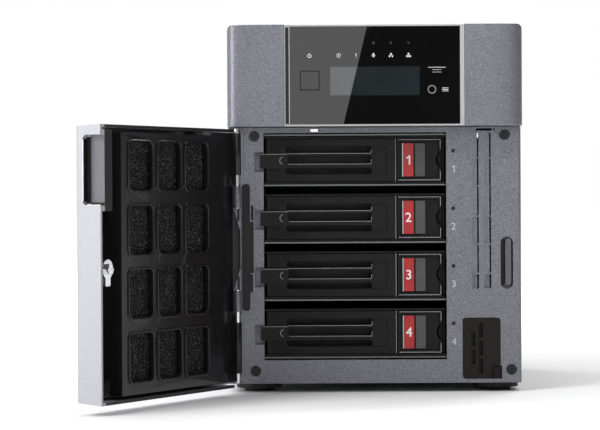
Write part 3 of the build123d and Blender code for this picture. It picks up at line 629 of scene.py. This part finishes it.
# ---------------------------------------------------------- rear details
for k, z in enumerate((126.0, 106.0, 86.0), 1):
    bm = bmesh.new()
    for j in range(8):
        zz = z - 3.6 + j * 1.03
        add_block(bm, (72.3, 215.0, zz - 0.22), (72.75, 223.5, zz + 0.22), 0.06, 1)
    finish_mesh(bm, "network_contacts_%d" % k, GOLD, "case")
bm = bmesh.new()
add_disc(bm, (-12, 84), 15.5, 0, 0.25)
for v in bm.verts:
    v.co.y = (225.15 * MM) - v.co.y
finish_mesh(bm, "fan_hub_disc", PALE, "case")

# ------------------------------------------------------------ floor, light
bm = bmesh.new()
bmesh.ops.create_grid(bm, x_segments=8, y_segments=8, size=14.0)
me = bpy.data.meshes.new("floor")
bm.to_mesh(me)
bm.free()
floor = bpy.data.objects.new("floor", me)
scene.collection.objects.link(floor)
fm, fnt, fb = material("floor")
fb.inputs["Base Color"].default_value = (0.86, 0.86, 0.865, 1)
fb.inputs["Roughness"].default_value = 0.55
fb.inputs["Emission Color"].default_value = (1, 1, 1, 1)
gn = fnt.nodes.new("ShaderNodeVectorMath")
gn.operation = "LENGTH"
link(fnt, coords(fnt), gn.inputs[0])
far = fnt.nodes.new("ShaderNodeMapRange")
far.interpolation_type = "SMOOTHSTEP"
far.inputs["From Min"].default_value = 0.35
far.inputs["From Max"].default_value = 1.6
link(fnt, gn.outputs["Value"], far.inputs["Value"])
link(fnt, far.outputs["Result"], fb.inputs["Emission Strength"])
me.materials.append(fm)

world = bpy.data.worlds.new("studio")
scene.world = world
world.use_nodes = True
wn = world.node_tree
bg = wn.nodes["Background"]
bg.inputs["Color"].default_value = (1, 1, 1, 1)
lp = wn.nodes.new("ShaderNodeLightPath")
mr = wn.nodes.new("ShaderNodeMapRange")
mr.inputs["To Min"].default_value = 0.10
mr.inputs["To Max"].default_value = 1.0
wn.links.new(lp.outputs["Is Camera Ray"], mr.inputs["Value"])
wn.links.new(mr.outputs["Result"], bg.inputs["Strength"])


def area(name, loc, target, sx, sy, watts):
    li = bpy.data.lights.new(name, "AREA")
    li.shape = "RECTANGLE"
    li.size, li.size_y, li.energy = sx, sy, watts
    o = bpy.data.objects.new(name, li)
    o.location = loc
    o.rotation_mode = "QUATERNION"
    o.rotation_quaternion = (Vector(target) - Vector(loc)).to_track_quat("-Z", "Y")
    scene.collection.objects.link(o)
    return o


area("key", (-1.35, -1.45, 1.7), (0, 0, 0.1), 0.8, 0.8, 38)
area("side_left", (-1.9, -0.55, 0.55), (-0.08, 0, 0.16), 0.6, 1.2, 20)
area("strip_right", (0.34, -2.05, 0.95), (0, 0, 0.1), 0.22, 1.0, 7)
area("top", (0.0, 0.15, 1.7), (0, 0, 0.1), 1.4, 1.4, 24)
area("rear_right", (1.2, 1.9, 1.3), (0, 0.1, 0.1), 1.0, 1.0, 22)
area("rear_left", (-1.4, 1.7, 1.0), (0, 0.1, 0.1), 1.0, 1.0, 16)

# a tall card behind the camera, whose slanted edge shows in the glossy panel
tilt = math.atan2(28.2, 116.0)
edge_mid = Vector((24.7, 259.0)) * MM
cw, ch = 0.20, 0.26
across = Vector((math.cos(tilt), -math.sin(tilt)))
centre = edge_mid - across * cw / 2
card = bpy.data.lights.new("card", "AREA")
card.shape = "RECTANGLE"
card.size, card.size_y = cw, ch
card.energy = 2.2 * math.pi * cw * ch
co = bpy.data.objects.new("card", card)
co.matrix_world = Matrix.Translation((centre.x, -1.70, centre.y)) @ Matrix.Rotation(math.radians(90), 4, "X") @ Matrix.Rotation(-tilt, 4, "Z")
co.matrix_world = Matrix.Translation((centre.x, -1.70, centre.y)) @ Matrix(
    ((across.x, across.y * -1, 0, 0), (0, 0, -1, 0), (across.y, across.x, 0, 0), (0, 0, 0, 1))
)
scene.collection.objects.link(co)

# ------------------------------------------------------------------ camera
cam = bpy.data.cameras.new("camera")
cam.sensor_width = 36.0
cam.lens = 156.36
cam.clip_start, cam.clip_end = 0.05, 60
cobj = bpy.data.objects.new("camera", cam)
cobj.matrix_world = (
    Matrix.Translation((-0.0434, -1.4964, 0.1149))
    @ Matrix.Rotation(math.radians(90 - 0.446), 4, "X")
    @ Matrix.Rotation(math.radians(-0.30), 4, "Z")
)
scene.collection.objects.link(cobj)
scene.camera = cobj
scene.view_settings.view_transform = "Standard"
